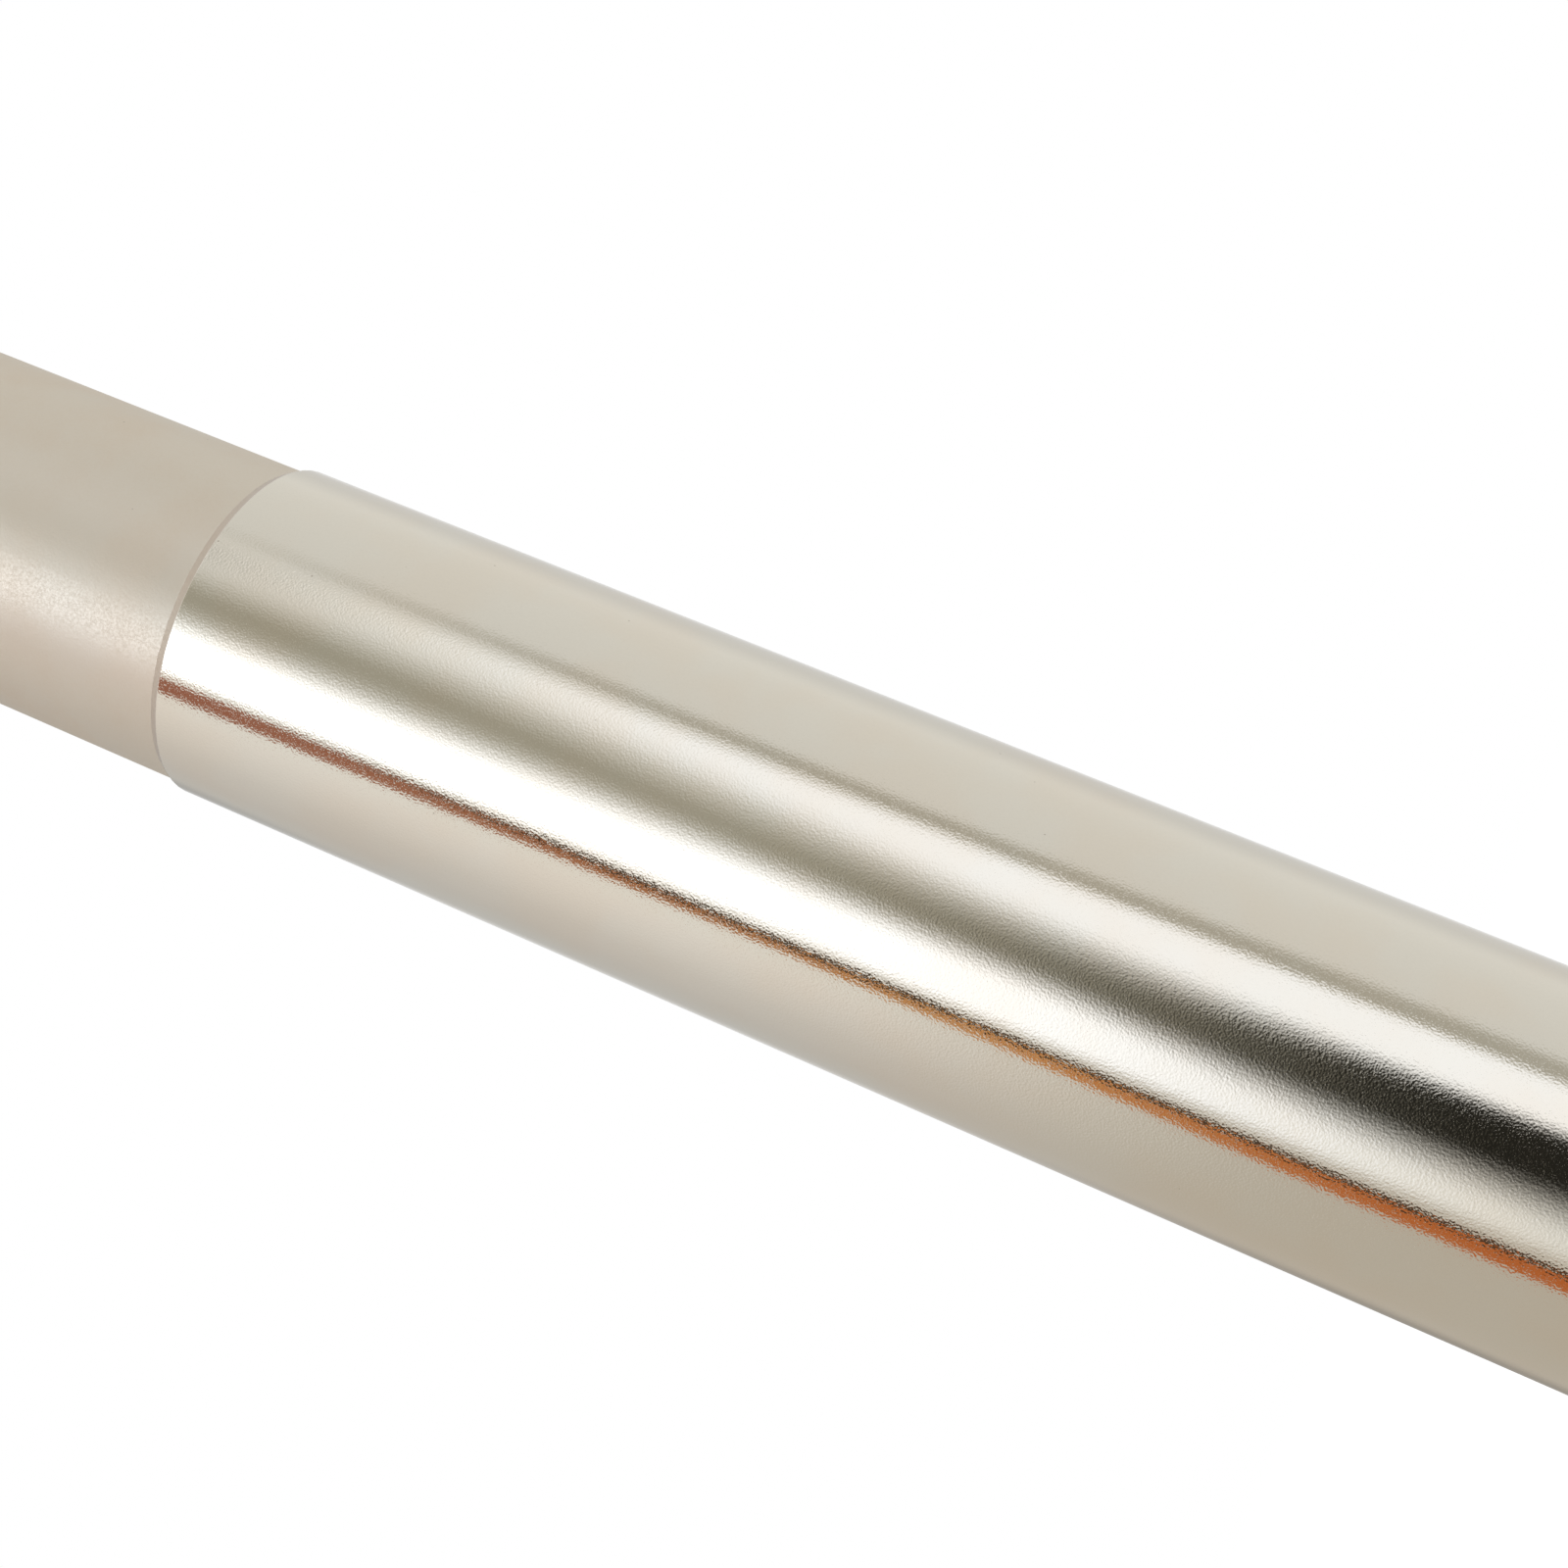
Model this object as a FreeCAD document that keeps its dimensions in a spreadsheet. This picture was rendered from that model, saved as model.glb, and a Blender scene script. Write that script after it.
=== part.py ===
import FreeCAD, Part
import os

import Sketcher

# Indexable 90 degree end mill with two clamped inserts and a plain cylindrical shank.
# The tool axis is Z, the centre of the shank's back face is the origin and the cutting
# end points up. Seen from the shank the tool turns clockwise, so each tooth faces the
# way of that turn: the first one sits on the X axis and looks along Y.

# Driving dimensions in millimetres and degrees: alias, value, what it is.
SIZES = [
    ("shank_diameter", 25, "ground shank"),
    ("shank_length", 105, "back face to the shoulder's edge"),
    ("overall_length", 150, "back face to the insert tips"),
    ("shoulder_run", 0.7, "axial length of the cone between shank and neck"),
    ("back_chamfer", 1.2, "chamfer round the back face"),
    ("front_chamfer", 0.6, "chamfer round the front face"),
    ("front_relief", 0.8, "front face behind the insert tips"),
    ("pilot_diameter", 2.5, "pilot of the centre hole in the back face"),
    ("pilot_depth", 6.5, "back face to the end of the pilot's wall"),
    ("pilot_tip_angle", 118, "drill point at the end of the pilot"),
    ("centre_mouth", 5.3, "mouth diameter of the centre hole"),
    ("centre_angle", 60, "included angle of the centre hole's cone"),
    ("tooth_count", 2, "teeth round the head"),
    ("cutting_diameter", 25, "circle that the insert tips cut"),
    ("insert_overhang", 0.425, "insert tips outside the turned neck and head"),
    ("axial_rake", 8, "lean of the rake face along the tool"),
    ("rake_lead", 0.4, "rake face ahead of the tool axis at the insert's middle"),
    ("insert_edge", 11, "straight side edge of the insert"),
    ("insert_width", 6.2, "insert across its side edges"),
    ("insert_thickness", 3.5, "rake face to seat face"),
    ("insert_corner", 85, "corner angle of the parallelogram"),
    ("insert_clearance", 11, "clearance angle of the insert's sides"),
    ("nose_radius", 0.8, "cutting corners"),
    ("heel_radius", 0.3, "corners that do not cut"),
    ("wiper_length", 2, "nose and flat that wipe the floor of the cut"),
    ("land_width", 0.12, "flat land behind the cutting edge"),
    ("groove_width", 0.85, "edge to the bottom of the chip groove"),
    ("groove_depth", 0.28, "chip groove below the edge"),
    ("island_foot", 1, "edge to the foot of the raised middle"),
    ("island_top", 1.15, "edge to the top of the raised middle"),
    ("insert_hole", 2.8, "screw hole through the insert"),
    ("screw_diameter", 2.5, "thread of the insert screw"),
    ("screw_length", 5.5, "insert screw from the head to the tip"),
    ("screw_tip_chamfer", 0.35, "chamfer at the screw's tip"),
    ("head_diameter", 3.5, "screw head"),
    ("head_angle", 60, "included angle of the head's cone"),
    ("head_sink", 0.3, "screw head below the rake face"),
    ("head_rim", 0.35, "straight rim of the screw head"),
    ("head_clearance", 0.05, "gap round the screw head"),
    ("thread_clearance", 0.02, "gap round the thread in the tapped hole"),
    ("lobe_count", 6, "lobes of the screw's recess"),
    ("lobe_reach", 2.3, "recess across its lobes"),
    ("lobe_core", 1.65, "recess between its lobes"),
    ("lobe_radius", 0.26, "round end of a lobe"),
    ("recess_depth", 1, "depth of the screw's recess"),
    ("gullet_wall", 1.5, "gullet wall beside the tool axis"),
    ("gullet_drop", 0.8, "gullet floor below the rake face"),
    ("gullet_floor", 13, "insert tip to the end of the gullet's flat floor"),
    ("gullet_sweep", 11, "radius of the gullet's run-out"),
    ("gullet_root", 3.5, "rounding between the gullet's floor and its wall"),
    ("seat_relief", 1, "radius of the relief in the seat's inner corner"),
    ("relief_shift", 0.25, "relief centre inside the insert's corner"),
    ("relief_depth", 0.25, "relief below the seat"),
    ("overcut", 4, "how far an open cut runs past the steel"),
]

# Two places closer than this are the same place.
TOUCH = 0.001

# Worked-out sizes, written as formulas on the driving ones. The insert's outline is
# measured from its middle: side edges at half its width, cutting ends at half its length.
NECK_RADIUS = "(sizes.cutting_diameter / 2 - sizes.insert_overhang)"
LEAN = "(90 - sizes.insert_corner)"
HALF_WIDTH = "(sizes.insert_width / 2)"
HALF_LENGTH = f"((sizes.insert_edge + (sizes.insert_width - sizes.wiper_length) * tan({LEAN})) / 2)"
TIP_LEAD = f"(sizes.rake_lead + {HALF_LENGTH} * sin(sizes.axial_rake))"
EDGE_X = f"sqrt((sizes.cutting_diameter / 2) ^ 2 - {TIP_LEAD} ^ 2)"
INSERT_X = f"({EDGE_X} - {HALF_WIDTH})"
INSERT_Z = f"(sizes.overall_length - {HALF_LENGTH} * cos(sizes.axial_rake))"
SIDE_DRAFT = "(sizes.insert_thickness * tan(sizes.insert_clearance))"
HEAD_SLOPE = "tan(sizes.head_angle / 2)"
HEAD_CONE_START = "(sizes.head_sink + sizes.head_rim)"
MOUTH_RADIUS = "(sizes.head_diameter / 2 + sizes.head_clearance)"


def fill_sheet(document):
    """Write every driving dimension into the document's sheet."""
    sheet = document.addObject("Spreadsheet::Sheet", "sizes")
    for row, (alias, value, note) in enumerate(SIZES, start=1):
        sheet.set(f"A{row}", alias)
        sheet.set(f"B{row}", str(value))
        sheet.setAlias(f"B{row}", alias)
        sheet.set(f"C{row}", note)
    document.recompute()
    return sheet


def origin_part(body, role):
    """One of the body's own origin planes or axes."""
    return next(part for part in body.Origin.OriginFeatures if part.Role == role)


def new_body(document, label):
    body = document.addObject("PartDesign::Body", label)
    body.Label = label
    return body


def new_sketch(body, name, support, offsets=None):
    """A sketch on a plane, moved and turned in it by formulas."""
    sketch = body.newObject("Sketcher::SketchObject", name)
    sketch.AttachmentSupport = [(support, "")]
    sketch.MapMode = "FlatFace"
    for path, formula in (offsets or {}).items():
        sketch.setExpression(f"AttachmentOffset.{path}", formula)
    return sketch


def bind(sketch, constraint, formula):
    """Add a dimension whose value is a formula."""
    index = sketch.addConstraint(constraint)
    sketch.setExpression(f"Constraints[{index}]", formula)


def number(thing, formula):
    """The value of a formula now."""
    return float(thing.evalExpression(formula))


def draw_outline(sketch, corners):
    """Draw a closed outline whose corners are pairs of formulas.

    A corner may carry a third entry, the centre of the arc that runs on from it to the
    next corner against the clock. Each corner is dimensioned from the sketch's origin.
    """
    points = [
        FreeCAD.Vector(number(sketch, corner[0]), number(sketch, corner[1]), 0)
        for corner in corners
    ]
    for index, corner in enumerate(corners):
        start = points[index]
        end = points[(index + 1) % len(points)]
        if len(corner) == 2:
            sketch.addGeometry(Part.LineSegment(start, end))
            continue
        centre = FreeCAD.Vector(number(sketch, corner[2][0]), number(sketch, corner[2][1]), 0)
        middle = centre + ((start + end) * 0.5 - centre).normalize() * start.distanceToPoint(centre)
        sketch.addGeometry(Part.Arc(start, middle, end))
    for index, corner in enumerate(corners):
        following = (index + 1) % len(corners)
        sketch.addConstraint(Sketcher.Constraint("Coincident", index, 2, following, 1))
        point = points[index]
        bind(sketch, Sketcher.Constraint("DistanceX", -1, 1, index, 1, point.x), corner[0])
        bind(sketch, Sketcher.Constraint("DistanceY", -1, 1, index, 1, point.y), corner[1])
        if len(corner) == 3:
            centre_x = number(sketch, corner[2][0])
            bind(sketch, Sketcher.Constraint("DistanceX", -1, 1, index, 3, centre_x), corner[2][0])


def draw_circle(sketch, centre, radius):
    """Draw a circle whose centre and radius are formulas."""
    place = FreeCAD.Vector(number(sketch, centre[0]), number(sketch, centre[1]), 0)
    size = number(sketch, radius)
    circle = sketch.addGeometry(Part.Circle(place, FreeCAD.Vector(0, 0, 1), size))
    bind(sketch, Sketcher.Constraint("Radius", circle, size), radius)
    bind(sketch, Sketcher.Constraint("DistanceX", -1, 1, circle, 3, place.x), centre[0])
    bind(sketch, Sketcher.Constraint("DistanceY", -1, 1, circle, 3, place.y), centre[1])


def turned(body, kind, name, sketch):
    """Turn a half profile round the Z axis, adding or cutting."""
    feature = body.newObject(f"PartDesign::{kind}", name)
    feature.Profile = sketch
    feature.ReferenceAxis = (sketch, ["V_Axis"])
    feature.Angle = 360
    return feature


def lofted(body, kind, name, sketches):
    """Join two outlines by straight sides, adding or cutting."""
    feature = body.newObject(f"PartDesign::{kind}", name)
    feature.Profile = sketches[0]
    feature.Sections = sketches[1:]
    feature.Ruled = True
    return feature


def pocketed(body, name, sketch, depth=None):
    """Cut along the sketch's normal, to a depth or right through."""
    feature = body.newObject("PartDesign::Pocket", name)
    feature.Profile = sketch
    feature.Reversed = True
    if depth is None:
        feature.Type = "ThroughAll"
    else:
        feature.setExpression("Length", depth)
    return feature


def round_the_head(body, name, features, count):
    """Repeat cuts evenly round the Z axis."""
    pattern = body.newObject("PartDesign::PolarPattern", name)
    pattern.Originals = features
    pattern.Axis = (origin_part(body, "Z_Axis"), [""])
    pattern.Angle = 360
    pattern.setExpression("Occurrences", count)
    body.Tip = pattern
    return pattern


def turned_blank(body):
    """The whole bar before the head is milled: shank, shoulder cone and neck."""
    shank = "sizes.shank_diameter / 2"
    front = "sizes.overall_length - sizes.front_relief"
    sketch = new_sketch(body, "blank_profile", origin_part(body, "XZ_Plane"))
    draw_outline(sketch, [
        ("0", "0"),
        (f"{shank} - sizes.back_chamfer", "0"),
        (shank, "sizes.back_chamfer"),
        (shank, "sizes.shank_length"),
        (NECK_RADIUS, "sizes.shank_length + sizes.shoulder_run"),
        (NECK_RADIUS, f"{front} - sizes.front_chamfer"),
        (f"{NECK_RADIUS} - sizes.front_chamfer", front),
        ("0", front),
    ])
    turned(body, "Revolution", "turned_blank", sketch)


def centre_hole(body):
    """The centre hole in the back face, from which the shank was ground."""
    mouth = "sizes.centre_mouth / 2"
    pilot = "sizes.pilot_diameter / 2"
    cone_end = f"({mouth} - {pilot}) / tan(sizes.centre_angle / 2)"
    sketch = new_sketch(body, "centre_profile", origin_part(body, "XZ_Plane"))
    draw_outline(sketch, [
        ("0", "0"),
        (mouth, "0"),
        (pilot, cone_end),
        (pilot, "sizes.pilot_depth"),
        ("0", f"sizes.pilot_depth + {pilot} / tan(sizes.pilot_tip_angle / 2)"),
    ])
    turned(body, "Groove", "centre_hole", sketch)


def chip_gullets(body):
    """The milled chip space ahead of each tooth, with its swept run-out.

    The side view is drawn beside the tool axis, along the rake face. Its floor lies a
    little below the insert's rake face, ends in an arc and is cut outwards.
    """
    floor = "-sizes.gullet_drop"
    floor_end = f"({HALF_LENGTH} - sizes.gullet_floor)"
    outside = "sizes.cutting_diameter"
    front = f"{HALF_LENGTH} + sizes.overcut"
    sketch = new_sketch(body, "gullet_side", origin_part(body, "YZ_Plane"), {
        "Base.x": "sizes.rake_lead",
        "Base.y": INSERT_Z,
        "Base.z": "sizes.gullet_wall",
        "Rotation.Yaw": "-sizes.axial_rake",
    })
    arc_centre = ("sizes.gullet_sweep - sizes.gullet_drop", floor_end)
    draw_outline(sketch, [
        (floor, front),
        (floor, floor_end, arc_centre),
        (arc_centre[0], f"{floor_end} - sizes.gullet_sweep"),
        (outside, f"{floor_end} - sizes.gullet_sweep"),
        (outside, front),
    ])
    gullet = pocketed(body, "chip_gullet", sketch)
    return round_the_head(body, "chip_gullets", [gullet], "sizes.tooth_count")


def gullet_roots(body, gullets):
    """Round the foot of each gullet's wall, as the milling cutter's own corner did.

    The foot is made of the edges that lie in the wall's plane and inside the bar.
    """
    wall = number(body, "sizes.gullet_wall")
    outside = number(body, NECK_RADIUS)
    front = number(body, "sizes.overall_length - sizes.front_relief - sizes.front_chamfer")
    tooth_turn = FreeCAD.Rotation(FreeCAD.Vector(0, 0, 1), 360 / gullets.Occurrences)
    feet = []
    for index, edge in enumerate(gullets.Shape.Edges, start=1):
        middle = edge.valueAt((edge.FirstParameter + edge.LastParameter) / 2)
        reach = (middle.x ** 2 + middle.y ** 2) ** 0.5
        if reach > outside - TOUCH or middle.z > front - TOUCH:
            continue
        for tooth in range(gullets.Occurrences):
            if abs(middle.x - wall) < TOUCH:
                feet.append(f"Edge{index}")
            middle = tooth_turn.multVec(middle)
    rounding = body.newObject("PartDesign::Fillet", "gullet_roots")
    rounding.Base = (gullets, feet)
    rounding.setExpression("Radius", "sizes.gullet_root")


def seat_plane(depth):
    """Formulas that lay a sketch along the first tooth's rake face, at a depth below it."""
    return {
        "Base.y": f"{INSERT_Z} + {depth} * sin(sizes.axial_rake)",
        "Base.z": f"{depth} * cos(sizes.axial_rake) - sizes.rake_lead",
        "Rotation.Roll": "-sizes.axial_rake",
    }


def seat_outline(inset):
    """Inner and rear walls of the insert's seat, open outwards and to the front."""
    inner = f"{INSERT_X} - {HALF_WIDTH} + {inset}"
    rear = f"{inset} - {HALF_LENGTH}"
    bend = f"({INSERT_X} - {HALF_WIDTH} + sizes.wiper_length - {inset} * tan({LEAN} / 2))"
    outside = "(sizes.cutting_diameter / 2 + sizes.overcut)"
    front = f"{HALF_LENGTH} + sizes.overcut"
    return [
        (inner, rear),
        (bend, rear),
        (outside, f"{rear} + ({outside} - {bend}) * tan({LEAN})"),
        (outside, front),
        (inner, front),
    ]


def insert_seats(body):
    """Pocket, corner relief and tapped hole for the insert of each tooth.

    The pocket's two walls lean like the insert's sides, so the insert bears on both
    walls and on the floor. The tapped hole runs out through the back of the tooth.
    """
    plane = origin_part(body, "XZ_Plane")
    mouth = new_sketch(body, "seat_mouth", plane, seat_plane("0"))
    draw_outline(mouth, seat_outline("0"))
    floor = new_sketch(body, "seat_floor", plane, seat_plane("sizes.insert_thickness"))
    draw_outline(floor, seat_outline(SIDE_DRAFT))
    seat = lofted(body, "SubtractiveLoft", "insert_seat", [mouth, floor])

    corner = new_sketch(body, "relief_circle", plane, seat_plane("0"))
    relief_centre = (
        f"{INSERT_X} - {HALF_WIDTH} + sizes.relief_shift",
        f"sizes.relief_shift - {HALF_LENGTH}",
    )
    draw_circle(corner, relief_centre, "sizes.seat_relief")
    relief = pocketed(body, "corner_relief", corner, "sizes.insert_thickness + sizes.relief_depth")

    thread = new_sketch(body, "thread_circle", plane, seat_plane("0"))
    draw_circle(thread, (INSERT_X, "0"), "sizes.screw_diameter / 2 + sizes.thread_clearance")
    hole = pocketed(body, "tapped_hole", thread)
    round_the_head(body, "insert_seats", [seat, relief, hole], "sizes.tooth_count")


def insert_outline(inset, nose):
    """The insert's parallelogram, drawn in by an inset, with its two cutting noses.

    Each end is a short flat beside the nose, which wipes the floor of the cut, and then
    leans back by what the corner angle lacks to a right angle.
    """
    side = f"({HALF_WIDTH} - {inset})"
    end = f"({HALF_LENGTH} - {inset})"
    bend = f"({HALF_WIDTH} - sizes.wiper_length + {inset} * tan({LEAN} / 2))"
    heel = "sizes.heel_radius"
    heel_run = f"({heel} * tan(sizes.insert_corner / 2))"
    heel_end = f"({end} - ({side} + {bend}) * tan({LEAN}))"
    half = [
        (side, f"{end} - {nose}", (f"{side} - {nose}", f"{end} - {nose}")),
        (f"{side} - {nose}", end),
        (bend, end),
        (
            f"{heel_run} * cos({LEAN}) - {side}",
            f"{heel_end} + {heel_run} * sin({LEAN})",
            (f"{heel} - {side}", f"{heel_end} - {heel_run}"),
        ),
        (f"-{side}", f"{heel_end} - {heel_run}"),
    ]
    return half + [tuple(turned_half_way(entry) for entry in corner) for corner in half]


def turned_half_way(entry):
    """The same formula, or pair of formulas, on the opposite side of the middle."""
    if isinstance(entry, tuple):
        return tuple(turned_half_way(part) for part in entry)
    return f"-({entry})"


def make_insert(document, label):
    """One cutting insert, rake face up at depth zero and seat face at its thickness."""
    body = new_body(document, label)
    heel = "sizes.heel_radius"
    levels = [
        ("rake_outline", "0", "0", "sizes.nose_radius"),
        ("seat_outline", "sizes.insert_thickness", SIDE_DRAFT, f"(sizes.nose_radius - {SIDE_DRAFT})"),
        ("land_outline", "0", "sizes.land_width", "(sizes.nose_radius - sizes.land_width)"),
        ("groove_outline", "sizes.groove_depth", "sizes.groove_width", heel),
        ("island_foot_outline", "sizes.groove_depth", "sizes.island_foot", heel),
        ("island_top_outline", "0", "sizes.island_top", heel),
    ]
    sketches = []
    for name, depth, inset, nose in levels:
        sketch = new_sketch(body, name, origin_part(body, "XY_Plane"), {"Base.z": depth})
        draw_outline(sketch, insert_outline(inset, nose))
        sketches.append(sketch)
    lofted(body, "AdditiveLoft", "block", sketches[0:2])
    lofted(body, "SubtractiveLoft", "chip_groove", sketches[2:4])
    lofted(body, "AdditiveLoft", "island", sketches[4:6])

    hole = "sizes.insert_hole / 2"
    cone_start = f"({HEAD_CONE_START} - sizes.head_clearance / {HEAD_SLOPE})"
    below = "sizes.insert_thickness + sizes.overcut"
    profile = new_sketch(body, "hole_profile", origin_part(body, "XZ_Plane"))
    draw_outline(profile, [
        ("0", "-sizes.overcut"),
        (MOUTH_RADIUS, "-sizes.overcut"),
        (MOUTH_RADIUS, cone_start),
        (hole, f"{cone_start} + ({MOUTH_RADIUS} - {hole}) / {HEAD_SLOPE}"),
        (hole, below),
        ("0", below),
    ])
    turned(body, "Groove", "screw_hole", profile)
    return body


def make_screw(document, label):
    """One insert screw, on the insert's axis, with its head sunk below the rake face."""
    body = new_body(document, label)
    head = "sizes.head_diameter / 2"
    shaft = "sizes.screw_diameter / 2"
    tip = "sizes.head_sink + sizes.screw_length"
    profile = new_sketch(body, "screw_profile", origin_part(body, "XZ_Plane"))
    draw_outline(profile, [
        ("0", "sizes.head_sink"),
        (head, "sizes.head_sink"),
        (head, HEAD_CONE_START),
        (shaft, f"{HEAD_CONE_START} + ({head} - {shaft}) / {HEAD_SLOPE}"),
        (shaft, f"{tip} - sizes.screw_tip_chamfer"),
        (f"{shaft} - sizes.screw_tip_chamfer", tip),
        ("0", tip),
    ])
    turned(body, "Revolution", "turned_screw", profile)

    plane = origin_part(body, "XY_Plane")
    core = new_sketch(body, "core_circle", plane, {"Base.z": "sizes.head_sink"})
    draw_circle(core, ("0", "0"), "sizes.lobe_core / 2")
    pocketed(body, "recess_core", core, "sizes.recess_depth")
    lobe = new_sketch(body, "lobe_circle", plane, {"Base.z": "sizes.head_sink"})
    draw_circle(lobe, ("sizes.lobe_reach / 2 - sizes.lobe_radius", "0"), "sizes.lobe_radius")
    lobe_cut = pocketed(body, "recess_lobe", lobe, "sizes.recess_depth")
    round_the_head(body, "recess_lobes", [lobe_cut], "sizes.lobe_count")
    return body


def place_on_tooth(body, tooth):
    """Lay an insert or a screw on a tooth, its own Z axis pointing into the seat."""
    turn = f"({tooth} * 360 / sizes.tooth_count)"
    body.setExpression("Placement.Base.x", f"{INSERT_X} * cos({turn}) - sizes.rake_lead * sin({turn})")
    body.setExpression("Placement.Base.y", f"{INSERT_X} * sin({turn}) + sizes.rake_lead * cos({turn})")
    body.setExpression("Placement.Base.z", INSERT_Z)
    body.setExpression("Placement.Rotation.Yaw", turn)
    body.setExpression("Placement.Rotation.Roll", "90 - sizes.axial_rake")


def make_holder(document):
    """The one-piece steel bar with its milled head."""
    body = new_body(document, "holder")
    turned_blank(body)
    centre_hole(body)
    gullets = chip_gullets(body)
    document.recompute()
    gullet_roots(body, gullets)
    insert_seats(body)
    return body


def check_document(document, bodies):
    """Stop if a feature failed, a cut removed nothing or a body is not one sound solid."""
    for thing in document.Objects:
        if "Invalid" in thing.State or "Error" in thing.State:
            raise RuntimeError(f"{thing.Name} failed: {thing.State}")
        cuts = ("Pocket", "Groove", "SubtractiveLoft")
        if thing.TypeId.split("::")[-1] in cuts and thing.Shape.Volume >= thing.BaseFeature.Shape.Volume:
            raise RuntimeError(f"{thing.Name} cuts nothing")
    for body in bodies:
        if body.Shape.isNull() or not body.Shape.isValid() or len(body.Shape.Solids) != 1:
            raise RuntimeError(f"{body.Label} is not one sound solid")


def main():
    document = FreeCAD.newDocument("end_mill")
    sheet = fill_sheet(document)
    bodies = [make_holder(document)]
    for tooth in range(int(sheet.tooth_count)):
        insert = make_insert(document, f"insert_{tooth + 1}")
        screw = make_screw(document, f"insert_screw_{tooth + 1}")
        for body in (insert, screw):
            place_on_tooth(body, tooth)
            bodies.append(body)
    document.recompute()
    check_document(document, bodies)
    os.makedirs("parts", exist_ok=True)
    for body in bodies:
        body.Shape.exportStep(f"parts/{body.Label}.step")
        print(f"{body.Label}: {body.Shape.Volume:.1f} cubic millimetres")


main()
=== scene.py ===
# %% [markdown]
# # A two-tooth indexable end mill, seen close to its shoulder
#
# The tool is a bar of nickel plated steel, 150 mm long. Its shank is ground bright, its neck is left
# satin, and its head holds two carbide inserts, each with one small screw. The solids come from CAD
# and stand on their back face. This lesson gives them their finishes and a small studio. A polished
# bar has hardly any look of its own: what we see on it is the room. So the room comes first.

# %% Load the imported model
import math

import bpy
from mathutils import Matrix, Vector

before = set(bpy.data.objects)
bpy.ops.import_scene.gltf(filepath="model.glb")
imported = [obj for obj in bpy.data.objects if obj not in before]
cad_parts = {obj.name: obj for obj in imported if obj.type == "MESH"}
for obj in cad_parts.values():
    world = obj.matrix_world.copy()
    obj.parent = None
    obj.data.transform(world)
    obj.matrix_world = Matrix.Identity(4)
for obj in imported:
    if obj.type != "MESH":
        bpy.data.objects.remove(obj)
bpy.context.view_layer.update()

bpy.ops.object.select_all(action="DESELECT")

# %% [markdown]
# ## The camera
#
# The photograph is taken from very near, so the bar grows visibly thicker towards one end. A camera
# has two things to settle for such a picture: where it stands, and how long its lens is. Both were
# worked out from the two outlines of the bar and from the shoulder's oval. The tool stands upright
# here, so the camera is rolled on its side to bring the bar across the picture.

# %% Camera
CAMERA_PLACE = (0.0, -0.161212, 0.026158)
CAMERA_RIGHT = (0.38390, 0.20445, -0.90046)
CAMERA_UP = (0.92300, -0.11255, 0.36796)
CAMERA_BACK = (-0.02612, -0.97239, -0.23192)
SENSOR_MM = 36.0
LENS_MM = 55.452

lens = bpy.data.cameras.new("close_up")
lens.sensor_width = SENSOR_MM
lens.lens = LENS_MM
lens.clip_start, lens.clip_end = 0.01, 20.0
camera = bpy.data.objects.new("close_up", lens)
bpy.context.scene.collection.objects.link(camera)
turn = Matrix((CAMERA_RIGHT, CAMERA_UP, CAMERA_BACK)).transposed()
camera.rotation_mode = "QUATERNION"
camera.rotation_quaternion = turn.to_quaternion()
camera.location = CAMERA_PLACE
bpy.context.scene.camera = camera
bpy.context.scene.view_settings.view_transform = "Standard"
print("camera is", round(Vector(CAMERA_PLACE).length * 1000), "mm from the foot of the tool")


# %% [markdown]
# ## Small helpers for nodes
#
# Every finish below is a chain of nodes. Writing each one takes three lines in Blender: add it, set
# its numbers, link it. These helpers turn that into one readable call, so the cells can show what a
# finish is made of and not how nodes are wired. The first ones work on numbers.

# %% Helpers for numbers
def wire(tree, value, socket):
    """Puts a number, a colour or another node's output into a socket."""
    if isinstance(value, bpy.types.NodeSocket):
        tree.links.new(value, socket)
    else:
        socket.default_value = value


def maths(tree, job, a, b=0.0, c=None):
    node = tree.nodes.new("ShaderNodeMath")
    node.operation = job
    wire(tree, a, node.inputs[0])
    wire(tree, b, node.inputs[1])
    if c is not None:
        wire(tree, c, node.inputs[2])
    return node.outputs[0]


def times(tree, a, b):
    return maths(tree, "MULTIPLY", a, b)


def plus(tree, a, b):
    return maths(tree, "ADD", a, b)


def fade(tree, value, start, end, low=0.0, high=1.0):
    """Goes softly from low to high while value goes from start to end."""
    node = tree.nodes.new("ShaderNodeMapRange")
    node.interpolation_type = "SMOOTHSTEP"
    for socket, number in zip(node.inputs, (value, start, end, low, high)):
        wire(tree, number, socket)
    return node.outputs[0]


def mix_number(tree, share, first, second):
    node = tree.nodes.new("ShaderNodeMix")
    node.data_type = "FLOAT"
    wire(tree, share, node.inputs[0])
    wire(tree, first, node.inputs[2])
    wire(tree, second, node.inputs[3])
    return node.outputs[0]


print("number helpers ready")


# %% [markdown]
# The next ones work on colours: one mixes two, one tints a colour by another, as coloured glass
# does, and one lays several colours along a scale from 0 to 1.

# %% Helpers for colours
WHITE = (1.0, 1.0, 1.0, 1.0)


def mix_colour(tree, share, first, second, blend="MIX"):
    node = tree.nodes.new("ShaderNodeMix")
    node.data_type = "RGBA"
    node.blend_type = blend
    wire(tree, share, node.inputs["Factor"])
    wire(tree, first, node.inputs[6])
    wire(tree, second, node.inputs[7])
    return node.outputs[2]


def tinted(tree, colour, tint):
    return mix_colour(tree, 1.0, colour, tint, "MULTIPLY")


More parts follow.
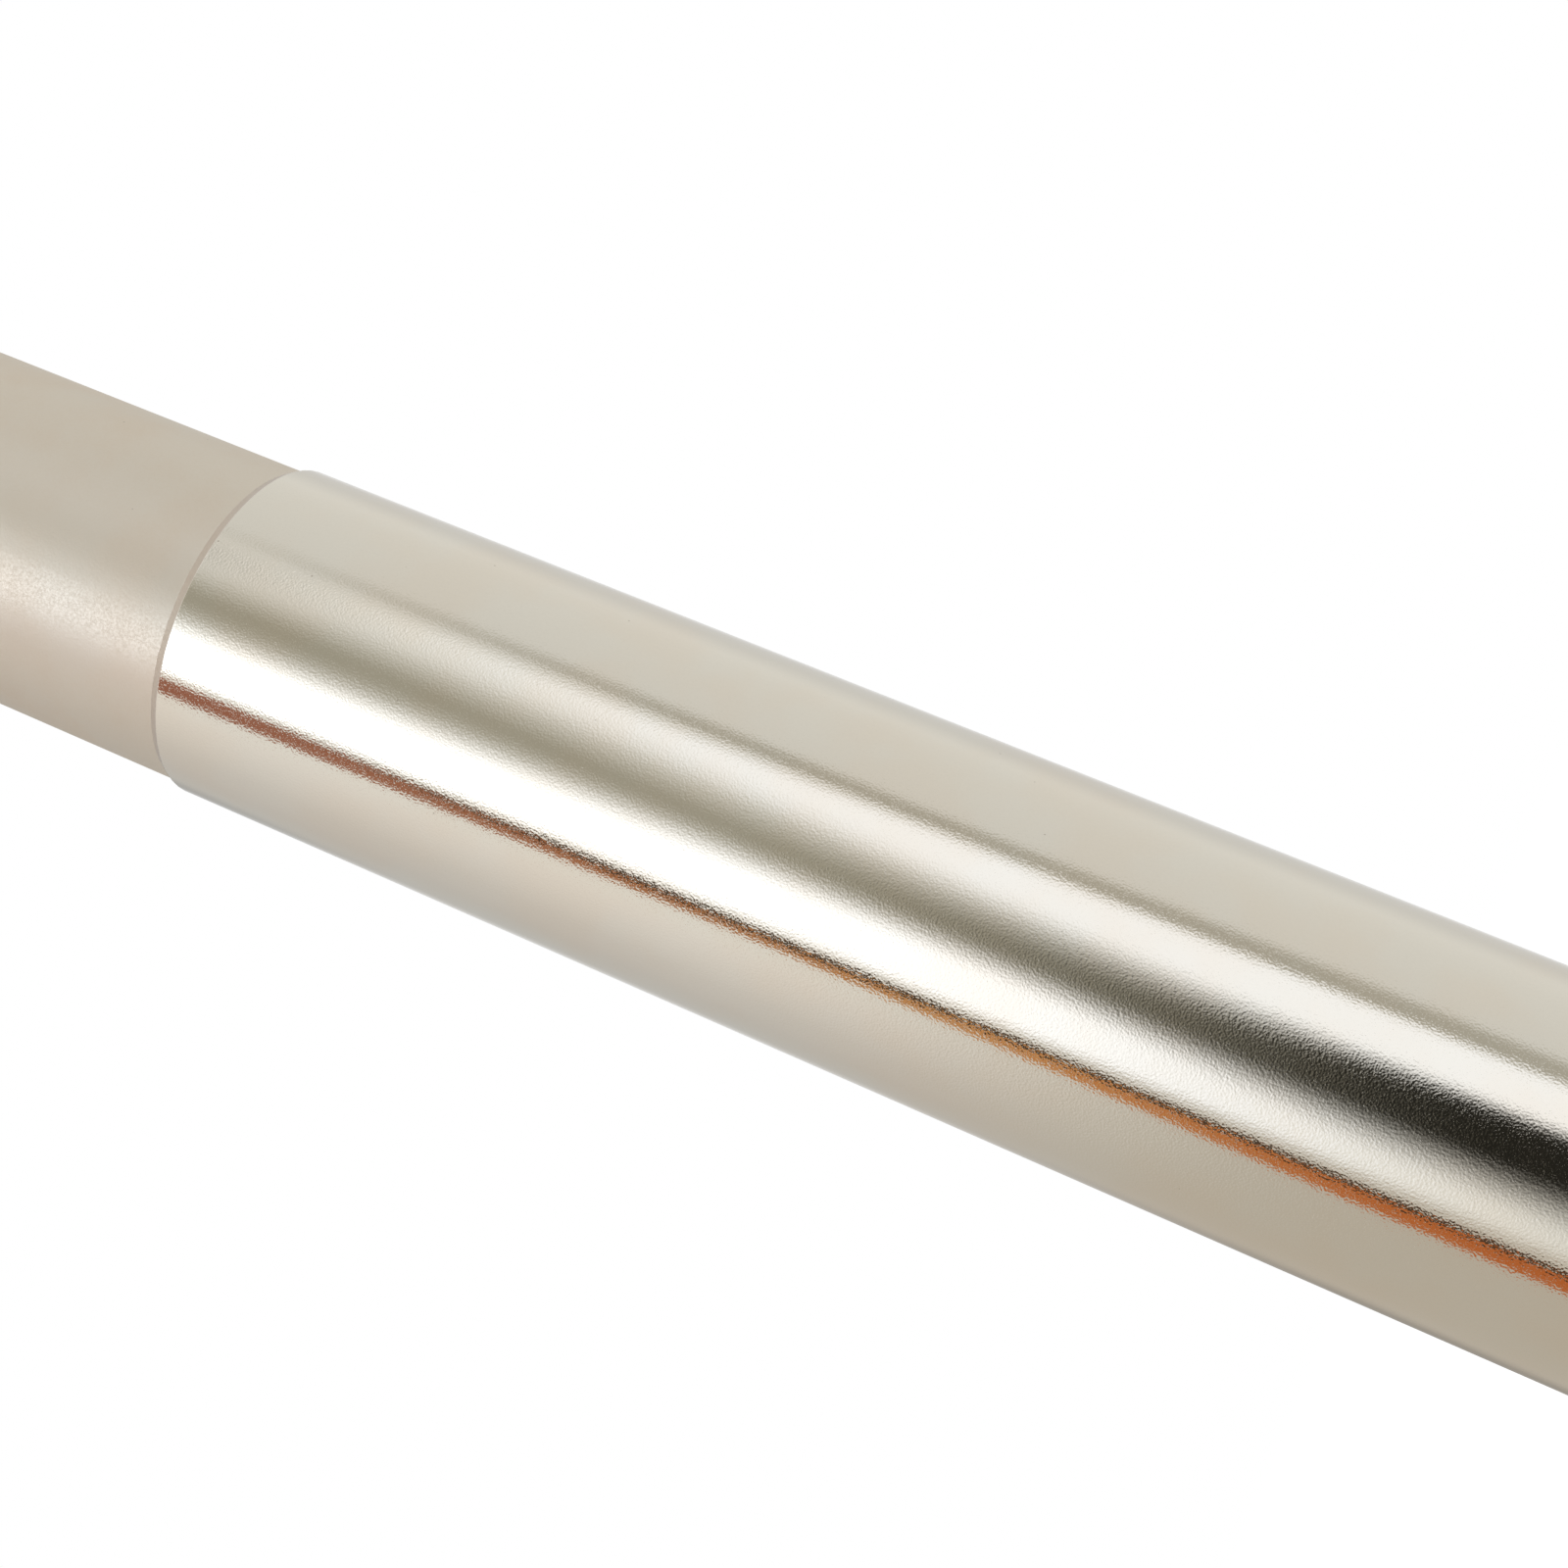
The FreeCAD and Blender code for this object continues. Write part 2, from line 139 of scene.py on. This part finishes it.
def ramp(tree, value, stops):
    node = tree.nodes.new("ShaderNodeValToRGB")
    bar = node.color_ramp
    while len(bar.elements) > 1:
        bar.elements.remove(bar.elements[-1])
    bar.elements[0].position, first = stops[0]
    bar.elements[0].color = (*first, 1.0)
    for place, colour in stops[1:]:
        bar.elements.new(place).color = (*colour, 1.0)
    tree.links.new(value, node.inputs[0])
    return node.outputs[0]


print("colour helpers ready")

# %% [markdown]
# ## The studio
#
# The tool was photographed in a white tent. A tent is a wall of cloth with things in front of it: two
# bright panels, the dark gap where the camera looks in, a thin seam, and the wooden edge of a table.
# Each shows on the bar as a long stripe. We could build these as real cards, but the bar only needs
# their picture, so they are painted straight onto the world, as soft shapes at a compass direction
# and a height, both in degrees. The compass starts at the camera and grows towards the +X side.

# %% Directions in the studio
TO_DEGREES = 180.0 / math.pi

world = bpy.data.worlds.new("studio")
bpy.context.scene.world = world
world.use_nodes = True
studio = world.node_tree
studio.nodes.clear()

where = studio.nodes.new("ShaderNodeTexCoord")
split = studio.nodes.new("ShaderNodeSeparateXYZ")
studio.links.new(where.outputs["Generated"], split.inputs[0])
to_front = times(studio, split.outputs[1], -1.0)
compass = times(studio, maths(studio, "ARCTAN2", split.outputs[0], to_front), TO_DEGREES)
height = times(studio, maths(studio, "ARCSINE", split.outputs[2]), TO_DEGREES)


def by_height(start, end, low, high):
    """Goes from low to high while the direction climbs from start to end degrees."""
    return fade(studio, height, start, end, low, high)


def strip(left_foot, left_top, right_top, right_foot):
    """1 between the two tops of a strip of compass directions, fading to 0 at its feet."""
    rise = fade(studio, compass, left_foot, left_top)
    fall = fade(studio, compass, right_foot, right_top)
    return times(studio, rise, fall)


def paint(picture, share, colour):
    """Lays a colour over the picture of the studio, as far as share says."""
    return mix_colour(studio, share, picture, colour)


print("the studio knows its directions")

# %% [markdown]
# ## The cloth wall
#
# No tent is evenly bright. The wall gets its level from a list of compass directions. Three soft
# corrections then make it dimmer low on the left, a touch warmer higher up there, and dimmer behind.

# %% Tent wall
TENT_WALL = [
    (-180, 0.87), (-170, 0.76), (-154, 0.56), (-128, 0.58), (-105, 0.65), (-83, 0.77), (-66, 0.86),
    (60, 0.74), (105, 0.79), (122, 0.82), (140, 0.70), (156, 0.68), (168, 0.80), (180, 0.87),
]
DIM_CLOTH = (0.545, 0.508, 0.462, 1.0)
WARM_CLOTH = (1.03, 1.0, 1.0, 1.0)

once_round = maths(studio, "MULTIPLY_ADD", compass, 1 / 360, 0.5)
tent = ramp(studio, once_round, [((a + 180) / 360, (level,) * 3) for a, level in TENT_WALL])

low_left = times(studio, fade(studio, compass, 0.0, -60.0), by_height(14.0, -3.0, 0.0, 1.0))
tent = paint(tent, low_left, DIM_CLOTH)

far_left = times(studio, strip(-150.0, -120.0, -75.0, -60.0), by_height(0.0, 10.0, 0.0, 1.0))
tent = paint(tent, far_left, tinted(studio, tent, WARM_CLOTH))

near_back = strip(-180.0, -168.0, -160.0, -140.0)
back_level = times(studio, by_height(-5.0, 9.0, 0.66, 1.0), by_height(19.0, 27.0, 1.0, 0.72))
tent = tinted(studio, tent, mix_number(studio, near_back, 1.0, back_level))
print("cloth wall set at", len(TENT_WALL), "directions")

# %% [markdown]
# ## The two bright panels
#
# The left panel is the widest and brightest stripe on the bar, and the right one is the narrower
# stripe beside the dark gap. Their edges lean, because the panels hang at an angle to the bar. In the
# photograph the brightest stripes look slightly cooler, so a brighter level also gets a cooler tint.

# %% Bright panels
COOL = (0.965, 1.0, 1.10, 1.0)
SKY = (0.94, 1.0, 1.05, 1.0)


def glow_of(level):
    """White light of a level from a socket. The brighter it is, the cooler it looks."""
    tint = mix_colour(studio, fade(studio, level, 0.80, 1.25), WHITE, COOL)
    return tinted(studio, level, tint)


left_panel = strip(
    -49.5,
    by_height(-4.0, 16.0, -37.0, -43.5),
    by_height(-4.0, 10.0, -30.0, -25.0),
    3.0,
)
left_level = plus(studio, by_height(-14.0, 14.0, 0.72, 1.50), by_height(12.0, 42.0, 0.0, 1.12))
sky_tint = mix_colour(studio, by_height(27.0, 36.0, 0.0, 1.0), WHITE, SKY)
tent = paint(tent, left_panel, tinted(studio, glow_of(left_level), sky_tint))

right_panel = strip(
    by_height(0.0, 20.0, 4.0, 16.0),
    by_height(0.0, 20.0, 30.0, 39.5),
    by_height(0.0, 20.0, 44.0, 40.0),
    by_height(0.0, 20.0, 54.0, 50.0),
)
right_level = plus(studio, by_height(13.0, 40.0, 1.17, 0.34), by_height(30.0, 44.0, 0.0, 0.75))
tent = paint(tent, right_panel, glow_of(right_level))
print("two panels hung")

# %% [markdown]
# ## The seam and the dark gap
#
# The seam is the thin grey line beyond the right panel. The gap is what gives polished metal its
# black stripe: it is nearly black low down, and pales to a warm grey where the cloth closes above.

# %% Seam and gap
SEAM_GREY = (0.46, 0.445, 0.405, 1.0)
WARM_DARK = (1.04, 1.0, 0.86, 1.0)

seam = strip(
    48.0,
    53.5,
    by_height(-4.0, 10.0, 57.5, 54.5),
    by_height(-4.0, 10.0, 67.0, 63.0),
)
tent = paint(tent, times(studio, seam, by_height(32.0, 13.0, 0.0, 1.0)), SEAM_GREY)

gap = strip(
    plus(studio, by_height(-5.0, 8.0, -34.5, -23.0), by_height(12.0, 27.0, 0.0, -11.0)),
    by_height(2.0, 27.0, -3.3, 7.0),
    plus(studio, by_height(-5.0, 5.0, 17.0, -1.0), by_height(9.0, 27.0, 0.0, 6.0)),
    by_height(12.0, 24.0, 27.0, 31.0),
)
gap_level = plus(studio, by_height(-5.0, 15.0, 0.018, 0.375), by_height(30.0, 44.0, 0.0, 0.25))
tent = paint(tent, gap, tinted(studio, gap_level, WARM_DARK))
print("seam and gap painted")

# %% [markdown]
# ## The table's edge and the top of the tent
#
# The one strong colour in the room is the wooden edge of the table. It is only a few degrees wide, so
# it shows on the bar as a thin line with a dark line of shadow beside it. Its colour goes from orange
# low down to a red brown higher up. High above, the cloth is plain again.

# %% Table edge and ceiling
WOOD = [
    (0.0, (0.50, 0.145, 0.043)),
    (0.33, (0.60, 0.31, 0.125)),
    (0.60, (0.44, 0.195, 0.085)),
    (1.0, (0.34, 0.140, 0.095)),
]
SHADOW = (0.06, 0.04, 0.025, 1.0)
CEILING = (0.80, 0.785, 0.755, 1.0)

wood_edge = strip(
    plus(studio, by_height(-4.0, 13.0, -64.0, -59.5), by_height(14.0, 28.0, 0.0, -4.5)),
    plus(studio, by_height(-4.0, 13.0, -61.5, -57.5), by_height(14.0, 28.0, 0.0, -3.5)),
    by_height(14.0, 27.0, -51.0, -53.0),
    by_height(14.0, 27.0, -49.8, -50.5),
)
tent = paint(tent, wood_edge, ramp(studio, by_height(-6.0, 28.0, 0.0, 1.0), WOOD))
shadow_line = times(studio, strip(-54.5, -52.8, -51.0, -49.0), by_height(27.0, 16.0, 0.0, 1.0))
tent = paint(tent, shadow_line, SHADOW)
tent = paint(tent, by_height(48.0, 72.0, 0.0, 1.0), CEILING)
print("table edge painted in", len(WOOD), "colours")

# %% [markdown]
# ## Who sees the studio
#
# Only mirror rays meet the painted room. The camera, and light that passes through glass, look past it
# at a plain white backdrop, and soft light on rough surfaces comes evenly from all sides.

# %% Who sees what
SOFT_LIGHT = (0.95, 0.95, 0.95, 1.0)

rays = studio.nodes.new("ShaderNodeLightPath")
by_camera, by_glass = rays.outputs["Is Camera Ray"], rays.outputs["Is Transmission Ray"]
sees_backdrop = maths(studio, "MAXIMUM", by_camera, by_glass)
lit = mix_colour(studio, rays.outputs["Is Glossy Ray"], SOFT_LIGHT, tent)
glow = studio.nodes.new("ShaderNodeBackground")
out = studio.nodes.new("ShaderNodeOutputWorld")
studio.links.new(mix_colour(studio, sees_backdrop, lit, WHITE), glow.inputs["Color"])
studio.links.new(glow.outputs[0], out.inputs[0])
print("studio has", len(studio.nodes), "nodes")

# %% [markdown]
# ## Floor
#
# The tool stands on a white floor, which has to look as white as the backdrop and still show the soft
# shadow at the tool's foot. So near the tool it is mostly a plain matt white, which takes the shadow,
# and further out it fades to a glow that only the camera sees. It is left out of the mirror rays,
# because in the photograph the bar hangs clear of any floor.

# %% Floor
FLOOR_SIZE = 3.0
FLOOR_DROP = 0.0002
SHADOW_REACH = (0.08, 0.42)
GLOW_AT_FOOT = 0.35

bpy.ops.mesh.primitive_plane_add(size=FLOOR_SIZE, location=(0.0, 0.0, -FLOOR_DROP))
floor = bpy.context.object
floor.name = "floor"
floor.visible_glossy = False
card = bpy.data.materials.new("white floor")
card.use_nodes = True
tree = card.node_tree
tree.nodes.clear()
matt = tree.nodes.new("ShaderNodeBsdfDiffuse")
matt.inputs["Color"].default_value = (0.92, 0.92, 0.92, 1.0)
shine = tree.nodes.new("ShaderNodeEmission")
path = tree.nodes.new("ShaderNodeLightPath")
tree.links.new(path.outputs["Is Camera Ray"], shine.inputs["Strength"])
spot = tree.nodes.new("ShaderNodeTexCoord")
span = tree.nodes.new("ShaderNodeVectorMath")
span.operation = "LENGTH"
tree.links.new(spot.outputs["Object"], span.inputs[0])
both = tree.nodes.new("ShaderNodeMixShader")
wire(tree, fade(tree, span.outputs["Value"], *SHADOW_REACH, GLOW_AT_FOOT, 1.0), both.inputs[0])
tree.links.new(matt.outputs[0], both.inputs[1])
tree.links.new(shine.outputs[0], both.inputs[2])
end = tree.nodes.new("ShaderNodeOutputMaterial")
tree.links.new(both.outputs[0], end.inputs[0])
floor.data.materials.append(card)
print("floor laid", FLOOR_DROP * 1000, "mm under the tool")

# %% [markdown]
# ## Lamp
#
# One large weak lamp above gives the shadow a side. A small lamp would draw a hard shadow, and on
# polished metal it would show as a white dot, so this one is wide and hidden from mirror rays.

# %% Lamp
LAMP_PLACE = (-0.35, -0.30, 0.75)
LAMP_AIM = (0.0, 0.0, 0.06)

lamp = bpy.data.lights.new("soft_key", "AREA")
lamp.shape = "DISK"
lamp.size = 0.5
lamp.energy = 3.0
key = bpy.data.objects.new("soft_key", lamp)
bpy.context.scene.collection.objects.link(key)
key.location = LAMP_PLACE
key.rotation_euler = (Vector(LAMP_AIM) - key.location).to_track_quat("-Z", "Y").to_euler()
key.visible_glossy = False
key.visible_camera = False
print("lamp is", lamp.size * 1000, "mm wide")


# %% [markdown]
# ## Asking a point where it is
#
# One bar of steel carries several finishes, each left by the last tool that touched it. We could cut
# the mesh into patches and give each its own material. Instead one material asks each point how high
# it is and how far it lies from the axis. The solid from CAD stays untouched, and a border between
# two finishes falls exactly on the edge where the real one is.

# %% Places
def new_finish(name):
    made = bpy.data.materials.new(name)
    made.use_nodes = True
    tree = made.node_tree
    tree.nodes.clear()
    shader = tree.nodes.new("ShaderNodeBsdfPrincipled")
    end = tree.nodes.new("ShaderNodeOutputMaterial")
    tree.links.new(shader.outputs[0], end.inputs[0])
    return made, tree, shader


def place_of(tree):
    """The point itself, in metres from the middle of the back face."""
    return tree.nodes.new("ShaderNodeTexCoord").outputs["Object"]


def parts_of(tree, vector):
    node = tree.nodes.new("ShaderNodeSeparateXYZ")
    tree.links.new(vector, node.inputs[0])
    return node.outputs


def length_of(tree, x, y):
    return maths(tree, "SQRT", plus(tree, times(tree, x, x), times(tree, y, y)))


print("a point can tell its place")


# %% [markdown]
# ## Patterns
#
# Metal is never quite even. Three random patterns cover all that this tool shows: grain, for sandy
# and cloudy surfaces, lines, for what a cutting tool leaves, and a few dark specks. Noise is measured
# in swells to a metre, so 6000 means one every sixth of a millimetre.

# %% Patterns
def grain(tree, place, per_metre, detail=2.0, stretch=(1.0, 1.0, 1.0), rough=0.5):
    """A soft random pattern with so many swells to a metre, squeezed along an axis by stretch."""
    lay = tree.nodes.new("ShaderNodeMapping")
    lay.inputs["Scale"].default_value = stretch
    tree.links.new(place, lay.inputs[0])
    noise = tree.nodes.new("ShaderNodeTexNoise")
    noise.inputs["Scale"].default_value = per_metre
    noise.inputs["Detail"].default_value = detail
    noise.inputs["Roughness"].default_value = rough
    tree.links.new(lay.outputs[0], noise.inputs["Vector"])
    return noise.outputs[0]


def lines(tree, distance, per_metre, detail=2.0):
    """Random lines that lie where distance is the same, as a cutting tool leaves them."""
    noise = tree.nodes.new("ShaderNodeTexNoise")
    noise.noise_dimensions = "1D"
    noise.inputs["Scale"].default_value = per_metre
    noise.inputs["Detail"].default_value = detail
    tree.links.new(distance, noise.inputs["W"])
    return noise.outputs[0]


def specks(tree, place, per_metre, size):
    """1 in a few tiny round spots, 0 elsewhere."""
    cells = tree.nodes.new("ShaderNodeTexVoronoi")
    cells.inputs["Scale"].default_value = per_metre
    tree.links.new(place, cells.inputs["Vector"])
    return fade(tree, cells.outputs["Distance"], size * per_metre, 0.4 * size * per_metre)


print("patterns ready: grain, lines, specks")


# %% [markdown]
# ## Edges and relief
#
# A sharp edge on a real tool is rubbed slightly round, and catches light as a thin line. The Bevel
# node rounds it in the shading alone. Bump does the same for dents and ridges that are too shallow
# to be worth a mesh.

# %% Edges and relief
def rounded(tree, radius):
    """The facing of a surface whose sharp edges are rubbed round, and how near an edge a point is."""
    edge = tree.nodes.new("ShaderNodeBevel")
    edge.samples = 6
    edge.inputs["Radius"].default_value = radius
    true = tree.nodes.new("ShaderNodeNewGeometry")
    match = tree.nodes.new("ShaderNodeVectorMath")
    match.operation = "DOT_PRODUCT"
    tree.links.new(edge.outputs[0], match.inputs[0])
    tree.links.new(true.outputs["Normal"], match.inputs[1])
    return edge.outputs[0], fade(tree, match.outputs["Value"], 0.995, 0.90)


def relief(tree, height, depth, normal):
    """Dents and ridges of so many metres, on top of a facing."""
    node = tree.nodes.new("ShaderNodeBump")
    node.inputs["Strength"].default_value = 1.0
    node.inputs["Distance"].default_value = depth
    tree.links.new(height, node.inputs["Height"])
    tree.links.new(normal, node.inputs["Normal"])
    return node.outputs[0]


print("edges and relief ready")

# %% [markdown]
# ## Where the holder changes its finish
#
# The shank ends at 105 mm, the little shoulder cone at 105.7 mm. Above it, the outside of the neck is
# what lies a neck's radius from the axis, and all that lies deeper was milled: the two chip gullets
# and the seats of the inserts. The two end faces and their chamfers were turned. On the front chamfer
# height and radius add up to the same number everywhere, which is an easy way to find it.

# %% Zones of the holder
SHANK_TOP = 0.105
NECK_START = 0.1057
NECK_RADIUS = 0.012075
FRONT_FACE = 0.14915
FRONT_CHAMFER = 0.160655
BACK_CHAMFER = 0.0012
CENTRE_HOLE = 0.0028
TOUCH = 0.000005

steel, tree, shader = new_finish("nickel plated steel")
place = place_of(tree)
x, y, z = parts_of(tree, place)
radius = length_of(tree, x, y)

on_shank = maths(tree, "LESS_THAN", z, SHANK_TOP + TOUCH)
past_cone = maths(tree, "GREATER_THAN", z, NECK_START - TOUCH)
at_skin = maths(tree, "GREATER_THAN", radius, NECK_RADIUS - 10 * TOUCH)
on_face = maths(tree, "GREATER_THAN", z, FRONT_FACE)
on_chamfer = maths(tree, "GREATER_THAN", plus(tree, z, radius), FRONT_CHAMFER)
at_front = maths(tree, "MAXIMUM", on_face, on_chamfer)
at_back = maths(tree, "LESS_THAN", z, BACK_CHAMFER - TOUCH)
in_hole = times(tree, maths(tree, "LESS_THAN", radius, CENTRE_HOLE), on_shank)


def by_zone(mix, cone, ground, milled, satin, turned, bore):
    """Picks a value for each zone: the later zones lie on top of the earlier ones."""
    value = mix(tree, on_shank, cone, ground)
    value = mix(tree, past_cone, value, milled)
    value = mix(tree, times(tree, past_cone, at_skin), value, satin)
    value = mix(tree, maths(tree, "MAXIMUM", at_front, at_back), value, turned)
    return mix(tree, in_hole, value, bore)


print("shank to", SHANK_TOP * 1000, "mm, neck from", NECK_START * 1000, "mm")

# %% [markdown]
# ## Colour of the steel
#
# Nickel plate is a warm, slightly yellow white. Metal takes its colour from what it reflects, so the
# base colour is only the tint of the mirror. Very faint large patches break it up, as fingers and
# oil do, and a few specks of dirt stick to it. Sharp edges are painted paler, partly as rubbed wear
# and partly as a painted highlight.

# %% Colour of the steel
NICKEL = (0.80, 0.756, 0.652, 1.0)
SATIN = (0.755, 0.687, 0.575, 1.0)
MILLED = (0.72, 0.675, 0.59, 1.0)
CONE = (0.66, 0.59, 0.515, 1.0)
RUBBED_AND_HIGHLIT = (0.88, 0.86, 0.80, 1.0)
SMUDGE = (1.0, 0.965, 0.935, 1.0)
DIRT = (0.33, 0.28, 0.23, 1.0)
SPECK_SIZE = 0.00009
RUBBED_WIDTH = 0.00009

tone = by_zone(
    mix_colour, cone=CONE, ground=NICKEL, milled=MILLED, satin=SATIN, turned=MILLED, bore=MILLED
)
patches = fade(tree, grain(tree, place, 130.0, 3.0), 0.38, 0.66, 0.0, 0.7)
tone = mix_colour(tree, patches, tone, tinted(tree, tone, SMUDGE))
spots = specks(tree, place, 300.0, SPECK_SIZE)
tone = mix_colour(tree, times(tree, spots, 0.6), tone, DIRT)
glint = by_zone(mix_number, cone=0.10, ground=0.03, milled=0.06, satin=0.06, turned=0.06, bore=0.08)
speckle = maths(tree, "SUBTRACT", grain(tree, place, 5200.0, 2.0), 0.5)
tone = tinted(tree, tone, maths(tree, "MULTIPLY_ADD", speckle, glint, 1.0))
soft_normal, near_edge = rounded(tree, RUBBED_WIDTH)
# painted highlight and wear: near sharp edges the colour is mixed halfway to a paler one
tone = mix_colour(tree, times(tree, near_edge, 0.5), tone, RUBBED_AND_HIGHLIT)
tree.links.new(tone, shader.inputs["Base Color"])
shader.inputs["Metallic"].default_value = 1.0
print("base colour of the plate:", NICKEL[:3])

# %% [markdown]
# ## Gloss of the steel
#
# Gloss is what tells the zones apart. A low roughness gives the ground shank its sharp stripes, and a
# high one spreads the same room into the soft sheen of the neck. The neck was blasted with fine
# beads. Each dent is a little smoother or rougher than the next, which gives it its faint sparkle.

# %% Gloss of the steel
gloss = by_zone(mix_number, cone=0.36, ground=0.05, milled=0.29, satin=0.50, turned=0.24, bore=0.40)
cloudy = fade(tree, grain(tree, place, 260.0, 3.0), 0.35, 0.7, 0.0, 0.025)
uneven = by_zone(mix_number, cone=0.08, ground=0.0, milled=0.0, satin=0.14, turned=0.0, bore=0.0)
dents = fade(tree, grain(tree, place, 5200.0, 2.0, rough=0.7), 0.30, 0.70, -0.5, 0.5)
gloss = plus(tree, plus(tree, gloss, cloudy), times(tree, dents, uneven))
tree.links.new(gloss, shader.inputs["Roughness"])
print("roughness: shank 0.05, neck 0.50")

# %% [markdown]
# ## The marks of the tools
#
# A grinding wheel leaves fine grain and short scratches that run round the shank, a lathe leaves rings
# on the faces, a milling cutter leaves lines along the gullets, and the neck looks like fine sand.
# Each is a height pattern of a few thousandths of a millimetre. That is far too little to see as a
# shape, but it turns the mirror a little at each point, and so gives the stripes their sandy borders.

# %% Tool marks
MARK_DEPTH = 0.000003
COARSE = 2.4

sand = times(tree, grain(tree, place, 6800.0, 0.0), 2.0)
pits = fade(tree, grain(tree, place, 13000.0, 0.0), 0.64, 0.80, 0.0, 0.5)
scratches = grain(tree, place, 900.0, 3.0, (1.0, 1.0, 9.0))
ground = maths(tree, "MULTIPLY_ADD", scratches, 0.18, plus(tree, sand, pits))
beads = times(tree, grain(tree, place, 6000.0, 1.0), COARSE)
across = maths(tree, "MULTIPLY_ADD", y, 0.6, x)
milled = times(tree, lines(tree, across, 6000.0, 3.0), COARSE)
rings = times(tree, lines(tree, radius, 6500.0, 3.0), COARSE)
marks = by_zone(
    mix_number, cone=beads, ground=ground, milled=milled, satin=beads, turned=rings, bore=rings
)
tree.links.new(relief(tree, marks, MARK_DEPTH, soft_normal), shader.inputs["Normal"])
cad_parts["holder"].data.materials[0] = steel
print("tool marks are up to", round(MARK_DEPTH * COARSE * 1e6, 1), "thousandths of a millimetre deep")

# %% [markdown]
# ## Coated carbide
#
# The inserts are pressed from carbide powder, sintered, and coated in a dark violet grey. The coat
# follows every grain, so the surface glints like very fine cast iron. It is thinnest on the honed
# edges, and a thin pale line shows there. The line comes from the same rounded-edge helper.

# %% Inserts
COAT_THICK = (0.108, 0.097, 0.120, 1.0)
COAT_THIN = (0.128, 0.113, 0.128, 1.0)
HONED = (0.42, 0.39, 0.37, 1.0)
HONED_WIDTH = 0.00007
POWDER_DEPTH = 0.0000035

carbide, tree, shader = new_finish("coated carbide")
place = place_of(tree)
soft_normal, near_edge = rounded(tree, HONED_WIDTH)
clouds = fade(tree, grain(tree, place, 180.0, 3.0), 0.3, 0.7)
coat = mix_colour(tree, clouds, COAT_THICK, COAT_THIN)
coat = mix_colour(tree, times(tree, near_edge, 0.75), coat, HONED)
tree.links.new(coat, shader.inputs["Base Color"])
shader.inputs["Metallic"].default_value = 0.92
powder = grain(tree, place, 11000.0, 3.0)
tree.links.new(fade(tree, powder, 0.3, 0.7, 0.25, 0.36), shader.inputs["Roughness"])
tree.links.new(relief(tree, powder, POWDER_DEPTH, soft_normal), shader.inputs["Normal"])
for name in ("insert_1", "insert_2"):
    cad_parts[name].data.materials[0] = carbide
print("two inserts coated")

# %% [markdown]
# ## Screws
#
# Each screw head was turned, so its rings run round the screw's own axis, not round the tool's. The
# pattern therefore needs that axis. It leans as the insert does, and its middle is found as the
# middle of the highest ring of points on the head. A Mapping node then carries the pattern there.

# %% Where a screw stands
AXIAL_RAKE = math.radians(8.0)
RIM_HEIGHT = 0.00002


def head_middle(points, axis):
    """The middle of the screw's rim, which is the part of it that stands furthest along the axis."""
    along = [point.dot(axis) for point in points]
    top = max(along)
    rim = {tuple(round(v, 7) for v in p) for p, a in zip(points, along) if a > top - RIM_HEIGHT}
    return sum((Vector(p) for p in rim), Vector()) / len(rim)


def screw_place(tree, axis, middle):
    """The point as the screw sees it: the middle of its head is zero, and its axis points up."""
    to_screw = axis.to_track_quat("Z", "Y").inverted()
    lay = tree.nodes.new("ShaderNodeMapping")
    lay.inputs["Rotation"].default_value = to_screw.to_euler()
    lay.inputs["Location"].default_value = -(to_screw @ middle)
    tree.links.new(place_of(tree), lay.inputs[0])
    return lay.outputs[0]


print("screws lean", round(math.degrees(AXIAL_RAKE)), "degrees")

# %% [markdown]
# The steel of the screws is darker than the plate and slightly stained. The recess for the key gets
# painted shade, a darker colour that stands in for the light no cloth sends into it, and that makes
# its six lobes easy to read.

# %% Screws
STEEL_DARK = (0.33, 0.315, 0.30, 1.0)
STEEL_PALE = (0.39, 0.37, 0.35, 1.0)
RECESS_SHADE = (0.12, 0.11, 0.10, 1.0)
WORN_EDGE = (0.62, 0.59, 0.55, 1.0)
RECESS_REACH = 0.00118
RECESS_TOP, RECESS_FLOOR = -0.00006, -0.0016
WORN_WIDTH = 0.00005
RING_DEPTH = 0.000009


def screw_finish(name, side):
    made, tree, shader = new_finish("screw steel " + name[-1])
    axis = Vector((0.0, side * math.cos(AXIAL_RAKE), -math.sin(AXIAL_RAKE)))
    middle = head_middle([v.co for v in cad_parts[name].data.vertices], axis)
    place = screw_place(tree, axis, middle)
    x, y, z = parts_of(tree, place)
    from_axis = length_of(tree, x, y)
    soft_normal, near_edge = rounded(tree, WORN_WIDTH)
    stain = fade(tree, grain(tree, place, 2600.0, 3.0), 0.25, 0.75)
    tone = mix_colour(tree, stain, STEEL_DARK, STEEL_PALE)
    below_rim = maths(tree, "LESS_THAN", z, RECESS_TOP)
    above_floor = maths(tree, "GREATER_THAN", z, RECESS_FLOOR)
    inside = maths(tree, "LESS_THAN", from_axis, RECESS_REACH)
    recess_shade = times(tree, times(tree, below_rim, above_floor), inside)
    # painted shade: inside the key recess the colour is made much darker
    tone = mix_colour(tree, recess_shade, tone, RECESS_SHADE)
    tone = mix_colour(tree, times(tree, near_edge, 0.7), tone, WORN_EDGE)
    tree.links.new(tone, shader.inputs["Base Color"])
    shader.inputs["Metallic"].default_value = 1.0
    tree.links.new(fade(tree, stain, 0.0, 1.0, 0.24, 0.31), shader.inputs["Roughness"])
    rings = lines(tree, from_axis, 6500.0)
    tree.links.new(relief(tree, rings, RING_DEPTH, soft_normal), shader.inputs["Normal"])
    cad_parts[name].data.materials[0] = made
    print(name, "head middle in mm:", [round(v * 1000, 2) for v in middle])


screw_finish("insert_screw_1", 1.0)
screw_finish("insert_screw_2", -1.0)
